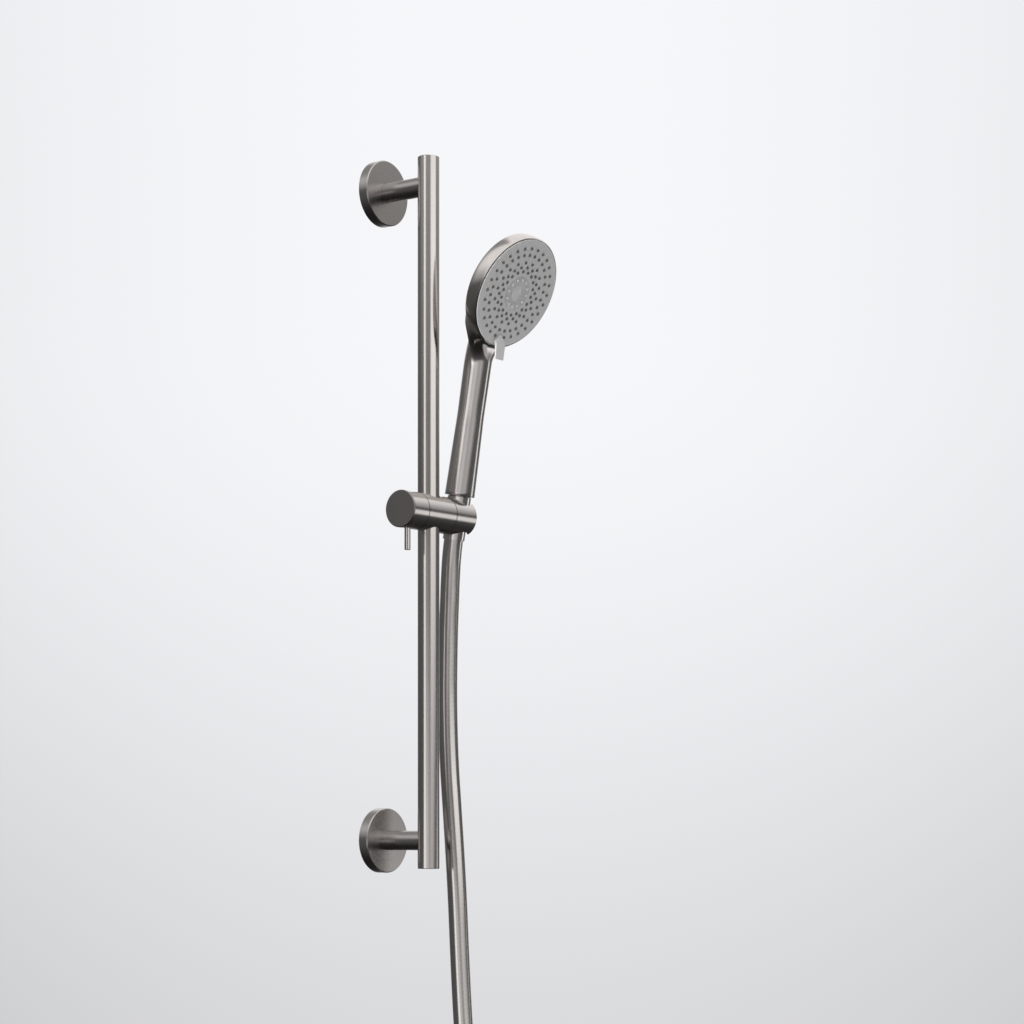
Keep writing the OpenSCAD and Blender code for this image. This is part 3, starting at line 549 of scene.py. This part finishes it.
# %% The graph that the wires belong to
class Graph:
    """The nodes of one material or of the world."""

    def __init__(self, owner):
        owner.use_nodes = True
        self.tree = owner.node_tree
        self.tree.nodes.clear()

    def node(self, kind, settings=None, inputs=None, output=0):
        """Adds a node of that kind; settings are set first, then each input gets a value or a wire."""
        new = self.tree.nodes.new("ShaderNode" + kind)
        for key, value in (settings or {}).items():
            setattr(new, key, value)
        for key, value in (inputs or {}).items():
            if isinstance(value, Wire):
                self.tree.links.new(value.socket, new.inputs[key])
            else:
                new.inputs[key].default_value = value
        return Wire(self, new.outputs[output])

    def mix(self, factor, low, high):
        """A colour between two colours, each three numbers or a wire."""
        low, high = (end if isinstance(end, Wire) else (*end, 1) for end in (low, high))
        inputs = {"Factor": factor, "A": low, "B": high}
        new = self.tree.nodes.new("ShaderNodeMix")
        new.data_type = "RGBA"
        for socket in new.inputs:
            if socket.enabled and socket.name in inputs:
                value = inputs[socket.name]
                if isinstance(value, Wire):
                    self.tree.links.new(value.socket, socket)
                else:
                    socket.default_value = value
        return Wire(self, next(s for s in new.outputs if s.enabled))

    def object_point(self):
        """The place on the piece, in metres."""
        return self.node("TexCoord", output=3)

    def noise(self, point, scale, detail=2.0, stretch=(1, 1, 1), roughness=0.5):
        """Noise from -1 to 1 that is stretched along the axes."""
        vector = self.node("Mapping", {"vector_type": "POINT"}, {"Vector": point, "Scale": stretch})
        value = self.node(
            "TexNoise", None, {"Vector": vector, "Scale": scale, "Detail": detail, "Roughness": roughness}
        )
        return value * 2 - 1

    def surface(self, height=None, lift=0.0, constants=None, **linked):
        """The shader itself: constants by socket name, and what varies over the surface by keyword."""
        inputs = dict(constants or {})
        inputs.update({name.replace("_", " "): value for name, value in linked.items()})
        if height is not None:
            inputs["Normal"] = self.node("Bump", None, {"Height": height, "Distance": lift, "Strength": 1.0})
        shader = self.node("BsdfPrincipled", None, inputs)
        self.node_out(shader)

    def node_out(self, shader, kind="OutputMaterial"):
        """Ends the graph in its output."""
        out = self.tree.nodes.new("ShaderNode" + kind)
        self.tree.links.new(shader.socket, out.inputs["Surface"])


def new_finish(name):
    """An empty material and its graph."""
    material = bpy.data.materials.new(name)
    return material, Graph(material)


print("a graph has", [name for name in vars(Graph) if not name.startswith("_")])

# %% [markdown]
# ## Turned metal
# The set is steel in a warm gunmetal finish, brushed while it spins on the lathe. Its fine lines are circles round
# the piece's own axis, on the barrel and on the end face alike, so the pattern is noise that changes fast with the
# distance along the axis and with the distance from it, and hardly at all round it. The long handle also has soft
# streaks along its length. On the slider, each gap between its three barrels gets a thin dark line of painted shade.

# %% A finish of fine circles round an axis
FINE_LINES, COARSE_LINES, LINE_BREAKS, CLOUDS, STREAKS = 5200.0, 900.0, 90.0, 28.0, 6.5
LINE_LIFT = 0.0000035
SEAM_HALF, SEAM_SOFT, SEAM_SHADE = 0.0005, 0.0003, 1.4


def turned_metal(name, point, axis, colour, roughness=0.2, line=1.0, brushed=0.0, drawn=0.0, shaded_seams=()):
    """Fine lathe lines round the axis through a point: noise of (station along the axis, distance from it). Drawn
    adds streaks along the axis. At each seam station, a gap between pieces, a thin dark line of painted shade goes
    into the colour."""
    material, graph = new_finish(name)
    here = graph.object_point()
    from_axis = graph.node("VectorMath", {"operation": "SUBTRACT"}, {0: here, 1: tuple(point)})
    station = graph.node("VectorMath", {"operation": "DOT_PRODUCT"}, {0: from_axis, 1: tuple(axis)}, output=1)
    off_axis = graph.node("VectorMath", {"operation": "CROSS_PRODUCT"}, {0: from_axis, 1: tuple(axis)})
    distance = graph.node("VectorMath", {"operation": "LENGTH"}, {0: off_axis}, output=1)
    rings = graph.node("CombineXYZ", None, {0: station + distance, 1: station - distance, 2: 0.0})
    fine = graph.noise(rings, FINE_LINES, detail=3.0, roughness=0.7)
    broken = graph.noise(here, LINE_BREAKS, detail=1.0)
    coarse = graph.noise(rings, COARSE_LINES, detail=2.0)
    cloud = graph.noise(here, CLOUDS, detail=2.0)
    lines = fine * (0.75 + 0.25 * broken)
    dark = tuple(c * 0.86 for c in colour)
    light = tuple(min(1.0, c * 1.12) for c in colour)
    shade = lines * 0.30 * line + coarse * 0.12 * line + cloud * 0.10 + 0.5
    if drawn:
        way_out = graph.node("VectorMath", {"operation": "NORMALIZE"}, {0: off_axis})
        streaks = graph.noise(way_out, STREAKS, detail=2.5, roughness=0.65)
        shade = shade + streaks * drawn
        cloud = cloud + streaks * drawn * 1.5
    # Painted shade: at each seam station the colour gets a thin dark line, standing in for the shade in the gap
    # between the barrels.
    for seam in shaded_seams:
        shade = shade - (station - seam).band(-SEAM_HALF, SEAM_HALF, SEAM_SOFT) * SEAM_SHADE
    base = graph.mix(shade, dark, light)
    # Where the tone falls far, in dark streaks and in the painted seam shade, the colour goes on towards a deep
    # tone.
    if drawn or shaded_seams:
        deep_tone_and_seam_shade = tuple(c * 0.45 for c in colour)
        base = graph.mix(shade.step(-0.9, 0.5), deep_tone_and_seam_shade, base)
    graph.surface(
        height=lines, lift=LINE_LIFT * line,
        constants={"Metallic": 1.0, "Anisotropic": brushed},
        Base_Color=base,
        Roughness=lines * 0.05 * line + cloud * 0.02 + roughness,
    )
    return material


# %% The metals of this set, each turned about its own axis
# The slider's seam stations, where the colour gets a thin dark line of painted shade for the gap between barrels.
SHADED_SEAMS = (-0.0192, 0.0212)
PIN_X, HOSE_END_Y = -0.0307, -0.046
GUNMETAL = (0.565, 0.54, 0.525)
BRACKET_METAL = (0.48, 0.46, 0.447)
rail_axis_point = (0, float(handle.origin[1]), 0)
upper_z = float(BRACKET_Z)
handle_line = tuple(handle.origin), tuple(handle.axes[2])
finishes = {
    "rail": turned_metal("gunmetal_rail", rail_axis_point, (0, 0, 1), GUNMETAL, 0.19),
    "slider": turned_metal(
        "gunmetal_slider", rail_axis_point, (1, 0, 0), GUNMETAL, 0.21, 1.3, brushed=0.5, shaded_seams=SHADED_SEAMS
    ),
    "upper": turned_metal("gunmetal_upper_bracket", (0, 0, upper_z), (0, 1, 0), BRACKET_METAL, 0.26, 1.2),
    "lower": turned_metal("gunmetal_lower_bracket", (0, 0, -upper_z), (0, 1, 0), BRACKET_METAL, 0.26, 1.2),
    "pin": turned_metal("gunmetal_pin", (PIN_X, rail_axis_point[1], 0), (0, 0, 1), GUNMETAL, 0.2),
    # The knob's end cap is the gunmetal painted much darker: painted shade for an end face that is dark from how the
    # light falls.
    "knob_end_painted_shade": turned_metal("gunmetal_knob_end_painted_shade", rail_axis_point, (1, 0, 0), (0.3, 0.287, 0.28), 0.34, 0.8),
    "shell": turned_metal("gunmetal_plated_shell", *handle_line, (0.57, 0.545, 0.53), 0.19, 0.8, drawn=0.5),
    "nut": turned_metal("gunmetal_nut", *handle_line, (0.66, 0.64, 0.62), 0.18, 0.5),
    "hose_end": turned_metal("gunmetal_hose_end", (HOSE_X, HOSE_END_Y, 0), (0, 0, 1), GUNMETAL, 0.22),
    "steel": turned_metal("machined_steel", rail_axis_point, (0, 1, 0), (0.6, 0.6, 0.61), 0.3, 1.0),
    "plate": turned_metal("zinc_plated_plate", (0, 0, 0), (0, 1, 0), (0.66, 0.67, 0.68), 0.42, 0.6),
    "brass": turned_metal("turned_brass", rail_axis_point, (1, 0, 0), (0.78, 0.58, 0.29), 0.28, 1.0),
}
print(len(finishes), "metal finishes")

# %% [markdown]
# ## Plastics and rubber
# The faceplate, the tab and the inner pieces are moulded: their surface has the fine spark-eroded grain of the
# mould, soft clouds of colour and a slight sheen. The silicone is the same idea, darker and duller. The clear
# insert looks grey like the face behind it, and its small nozzles catch the light: what stands proud gets a whiter
# colour, a painted highlight.

# %% Moulded plastic and rubber
PROUD_HIGHLIGHT_FROM, PROUD_HIGHLIGHT_FULLY = 0.00015, 0.0007
GRAIN_LIFT = 0.000006


def moulded(name, colour, roughness, grain=1.0, constants=None, scale=2600.0, proud_highlight_colour=None):
    """A fine mould grain in the bump and in the roughness, with soft clouds in the colour. What stands proud of the
    spray face may get another colour, a painted highlight for the light that its tips catch."""
    material, graph = new_finish(name)
    here = graph.object_point()
    fine = graph.noise(here, scale, detail=3.0, roughness=0.65)
    cloud = graph.noise(here, 45.0, detail=3.0)
    shade = fine * 0.22 * grain + cloud * 0.22 + 0.5
    dark, light = tuple(c * 0.9 for c in colour), tuple(min(1.0, c * 1.08) for c in colour)
    shown = graph.mix(shade, dark, light)
    # Painted highlight: what stands proud of the spray face takes a paler colour, for the light its tips catch.
    if proud_highlight_colour:
        off_face = graph.node("VectorMath", {"operation": "SUBTRACT"}, {0: here, 1: tuple(face.origin)})
        face_axis = tuple(face.axes[2])
        proud = graph.node("VectorMath", {"operation": "DOT_PRODUCT"}, {0: off_face, 1: face_axis}, output=1)
        shown = graph.mix(proud.step(PROUD_HIGHLIGHT_FROM, PROUD_HIGHLIGHT_FULLY), shown, proud_highlight_colour)
    graph.surface(
        height=fine, lift=GRAIN_LIFT * grain, constants=constants,
        Base_Color=shown, Roughness=fine * 0.06 + cloud * 0.03 + roughness,
    )
    return material


# %% The plastics and rubbers of this set
finishes.update({
    "faceplate": moulded("satin_grey_faceplate", (0.47, 0.47, 0.47), 0.42),
    "tab": moulded("pale_grey_tab", (0.56, 0.56, 0.56), 0.38, 0.6),
    "cap": moulded(
        "pale_grey_cap", (0.47, 0.47, 0.475), 0.24, 0.3, {"Coat Weight": 0.5, "Coat Roughness": 0.08},
    ),
    "insert": moulded(
        "clear_insert", (0.46, 0.462, 0.465), 0.2, 0.3,
        {"Transmission Weight": 0.08, "IOR": 1.46, "Coat Weight": 0.5, "Coat Roughness": 0.06},
        # the whiter colour of the proud nozzles is a painted highlight
        proud_highlight_colour=(0.8, 0.8, 0.8),
    ),
    "silicone": moulded("grey_silicone", (0.135, 0.135, 0.14), 0.5, 0.8, {"Sheen Weight": 0.15}),
    "rubber": moulded("black_rubber", (0.028, 0.028, 0.029), 0.6, 1.2),
    "nylon": moulded("white_nylon", (0.74, 0.74, 0.72), 0.45, 1.0),
    "black_nylon": moulded("black_nylon", (0.035, 0.035, 0.037), 0.45, 1.0),
})
print(len(finishes), "finishes so far")

# %% [markdown]
# ## The hose's sheath
# Under a clear skin the hose has a metallic foil with a spiral of strip steel beneath it, which shows as the
# faintest winding. It reads the tube's own map: u goes round the hose, v along it.

# %% The map: the share of a turn round the hose, and the metres along it
def map_tube(piece, path, name):
    """Writes u, the share of a turn round the path, and v, the length along it. Where a face crosses u = 0, its
    small values get a whole turn more, so that the pattern runs on."""
    mesh = piece.data
    points = np.empty(len(mesh.vertices) * 3)
    mesh.vertices.foreach_get("co", points)
    points = points.reshape(-1, 3)
    nearest = np.concatenate([
        np.argmin(np.linalg.norm(block[:, None] - path[None], axis=2), axis=1)
        for block in np.array_split(points, 20)
    ])
    heading = np.gradient(path, axis=0)
    heading = heading / np.linalg.norm(heading, axis=1, keepdims=True)
    side = np.cross(heading, [0, 1, 0])
    side = side / np.linalg.norm(side, axis=1, keepdims=True)
    across = np.cross(side, heading)
    off = points - path[nearest]
    u = np.arctan2((off * across[nearest]).sum(1), (off * side[nearest]).sum(1)) / tau % 1
    length = np.concatenate([[0], np.cumsum(np.linalg.norm(np.diff(path, axis=0), axis=1))])
    v = length[nearest] + (off * heading[nearest]).sum(1)
    corner = np.empty(len(mesh.loops), int)
    mesh.loops.foreach_get("vertex_index", corner)
    start, total = np.empty(len(mesh.polygons), int), np.empty(len(mesh.polygons), int)
    mesh.polygons.foreach_get("loop_start", start)
    mesh.polygons.foreach_get("loop_total", total)
    corner_u = u[corner]
    highest = np.repeat(np.maximum.reduceat(corner_u, start), total)
    corner_u = np.where(corner_u < highest - 0.5, corner_u + 1, corner_u)
    layer = mesh.uv_layers.new(name=name)
    layer.data.foreach_set("uv", np.stack([corner_u, v[corner]], axis=1).astype(np.float32).ravel())


map_tube(hose, path, "along")
print("the hose's map has", len(hose.data.uv_layers["along"].data), "corners")

# %% A clear skin over a metallic foil
WINDING_PITCH, SHEATH_LIFT = 0.0042, 0.0000025


def hose_sheath():
    """Faint lengthwise draw lines and a faint winding, from the distance along the hose and the turn round it."""
    material, graph = new_finish("hose_sheath")
    here = graph.node("UVMap", {"uv_map": "along"})
    split = graph.node("SeparateXYZ", None, {0: here})
    around, along = split, Wire(graph, split.socket.node.outputs["Y"])
    winding = ((along * (1 / WINDING_PITCH) + around) * tau).sine()
    rim = graph.node("CombineXYZ", None, {0: (around * tau).sine(), 1: (around * tau + pi / 2).sine(), 2: along})
    draw = graph.noise(rim, 1.0, detail=3.0, stretch=(14, 14, 3))
    speck = graph.noise(graph.object_point(), 1500.0, detail=2.0)
    shade = winding * 0.05 + draw * 0.2 + speck * 0.1 + 0.5
    graph.surface(
        height=winding * 0.6 + draw * 0.4, lift=SHEATH_LIFT,
        constants={"Metallic": 1.0, "Coat Weight": 0.1, "Coat Roughness": 0.1},
        Base_Color=graph.mix(shade, (0.5, 0.48, 0.465), (0.63, 0.605, 0.59)),
        Roughness=draw * 0.05 + speck * 0.03 + 0.19,
    )
    return material


finishes["hose"] = hose_sheath()
print("the hose's sheath has", len(finishes["hose"].node_tree.nodes), "nodes")

# %% Every piece gets its finish
wearing = {
    "rail": ["rail_tube", "top_cap", "bottom_cap"],
    "upper": ["upper_arm", "upper_rosette"],
    "lower": ["lower_arm", "lower_rosette"],
    "slider": ["slider_body", "lock_knob", "holder"],
    "knob_end_painted_shade": ["knob_cap"],
    "pin": ["lever_pin"],
    "nut": ["cone_nut", "threaded_insert"],
    "shell": ["hand_shower_shell"],
    "hose": ["shower_hose"],
    "hose_end": ["end_ferrule", "end_nut"],
    "steel": [
        "arm_screws", "grub_screws", "pivot_screw", "knob_screw", "centre_screw", "detent_spring", "detent_ball",
    ],
    "plate": ["upper_wall_plate", "lower_wall_plate"],
    "brass": ["upper_insert", "lower_insert", "clamp_spindle", "hose_nipple"],
    "faceplate": ["faceplate"],
    "tab": ["selector_tab_arrow"],
    "cap": ["centre_dome"],
    "insert": ["clear_insert"],
    "silicone": ["soft_nozzles"],
    "rubber": [
        "upper_rosette_ring", "lower_rosette_ring", "knob_washer", "friction_disc", "brake_pad", "holder_liner",
        "hose_washer", "chamber_seal", "end_washer", "hank_tie",
    ],
    "black_nylon": ["check_valve"],
    "nylon": [
        "rail_bush", "pivot_washer", "swivel_ring", "filter_screen", "flow_limiter", "waterway_tube",
        "water_chamber", "diverter_disc",
    ],
}
for finish, names in wearing.items():
    for name in names:
        piece = bpy.data.objects[name]
        piece.data.materials.clear()
        piece.data.materials.append(finishes[finish])
dressed = {name for names in wearing.values() for name in names}
bare = [o.name for o in scene.objects if o.type == "MESH" and not o.hide_render and o.name not in dressed]
print(len(dressed), "pieces have a finish; left bare:", bare)

# %% [markdown]
# ## The studio
# Metal shows what is around it, so the surroundings are drawn as a studio would be lit: a strip light to the
# camera's left, a low wide one to its right, a slanting panel just under the horizon, a short strip far to the
# right, a bright ceiling that is weaker on the left, a pale screen behind the set, and dark between them. The
# world is a function of direction: the bearing, in degrees to the right of the way back to the camera, and the
# rise above the horizon. What the camera itself sees is a plain pale backdrop. A band has a low end, a high end
# and the softness of its flanks, all in degrees.

# %% The surroundings as a function of direction
def turn_direction(degrees_right):
    """The level direction that lies so many degrees to the right of the way back to the camera."""
    a = radians(degrees_right)
    ahead = np.array([sin(VIEW_TURN), cos(VIEW_TURN)])
    right = np.array([cos(VIEW_TURN), -sin(VIEW_TURN)])
    flat = -cos(a) * ahead + sin(a) * right
    return float(flat[0]), float(flat[1]), 0.0


world = bpy.data.worlds.new("studio")
scene.world = world
sky = Graph(world)
direction = sky.node("TexCoord", output=0)
towards = sky.node("VectorMath", {"operation": "DOT_PRODUCT"}, {0: direction, 1: turn_direction(0)}, output=1)
sideways = sky.node("VectorMath", {"operation": "DOT_PRODUCT"}, {0: direction, 1: turn_direction(90)}, output=1)
height = sky.node("VectorMath", {"operation": "DOT_PRODUCT"}, {0: direction, 1: (0, 0, 1)}, output=1)
bearing = sky.node("Math", {"operation": "ARCTAN2"}, {0: sideways, 1: towards}) * (180 / pi)
rise = sky.node("Math", {"operation": "ARCSINE"}, {0: height}) * (180 / pi)
print("a bearing of 90 degrees looks along", tuple(round(v, 3) for v in turn_direction(90)))

# %% The lights of the studio, drawn on the directions
strip_left = bearing.band(-48, -29, 4) * rise.band(-16, 24, 6) * 1.2
strip_right = bearing.band(24, 84, 6) * rise.band(4, 17, 3) * 1.25
low_panel = rise.band(-15, 3, 4) * (bearing - rise * 2.2).band(-30, 60, 9) * 0.5
low_panel = low_panel + rise.band(-15, 4, 4) * bearing.band(-32, 2, 12) * 0.4
low_strip = bearing.band(100, 115, 4) * rise.band(-16, 0, 3) * 1.4
from_left = bearing.band(-165, -88, 12)
ceiling = (rise.step(8, 16) * 0.33 + rise.step(14, 42) * 0.72) * (1 - from_left * 0.8)
behind = (0 - towards).step(0.75, 0.95) * rise.band(-14, 30, 8) * 0.55
room = rise.step(-50, -8) * 0.09 + rise.step(-5, 30) * 0.05 + 0.02
light = room + strip_left + strip_right + low_panel + low_strip + ceiling + behind
looking = sky.node("LightPath")
dimming = sky.node("Math", {"operation": "MINIMUM"}, {0: sideways * sideways * 2.2, 1: 0.1})
pale = rise.step(-9, 11) * 0.26 + 0.665 - dimming
backdrop = sky.node("CombineXYZ", None, {0: pale, 1: pale * 1.004, 2: pale * 1.03})
glow = sky.node("CombineXYZ", None, {0: light * 1.0, 1: light * 0.985, 2: light * 0.975})
seen = sky.node("Background", None, {"Color": backdrop})
lit = sky.node("Background", None, {"Color": glow})
sky.node_out(sky.node("MixShader", None, {0: looking, 1: lit, 2: seen}), "OutputWorld")
scene.view_settings.view_transform = "Standard"
print("the studio has", len(sky.tree.nodes), "nodes")


# %% A soft lamp for the plastics
def soft_lamp(name, place, target, size, watts):
    """A square area lamp that looks at a target; the metals don't mirror it, because the strips do that."""
    lamp = bpy.data.lights.new(name, "AREA")
    lamp.size, lamp.energy = size, watts
    fitting = bpy.data.objects.new(name, lamp)
    away = np.array(place, float) - np.array(target, float)
    aim = Place((0, 0, 0), away, x_axis=(0.8, -0.6, 0.01))
    fitting.matrix_world = [[*aim.axes[:, k], place[k]] for k in range(3)] + [[0, 0, 0, 1]]
    fitting.visible_glossy = False
    scene.collection.objects.link(fitting)


soft_lamp("key_lamp", place=(-0.9, -2.6, 1.3), target=(0.03, -0.1, 0.1), size=1.4, watts=22)

# %% A pale floor below the hank
FLOOR_Z, FLOOR_R, FLOOR_HOLE_R = cad_box[0][2] - 0.3, 3.0, 0.01
floor_mesh = bpy.data.meshes.new("floor")
floor_rings = turned(np.array([[FLOOR_HOLE_R, FLOOR_Z], [FLOOR_R, FLOOR_Z]]))
floor_mesh.from_pydata(floor_rings.reshape(-1, 3).tolist(), [], grid_faces(2, 96)[:, ::-1].tolist())
floor = bpy.data.objects.new("floor", floor_mesh)
scene.collection.objects.link(floor)
floor_finish, floor_graph = new_finish("pale_floor")
floor_graph.surface(constants={"Base Color": (0.8, 0.8, 0.81, 1), "Roughness": 0.7})
floor.data.materials.append(floor_finish)
floor.visible_glossy = False
print("the floor lies at", round(FLOOR_Z, 3), "m")
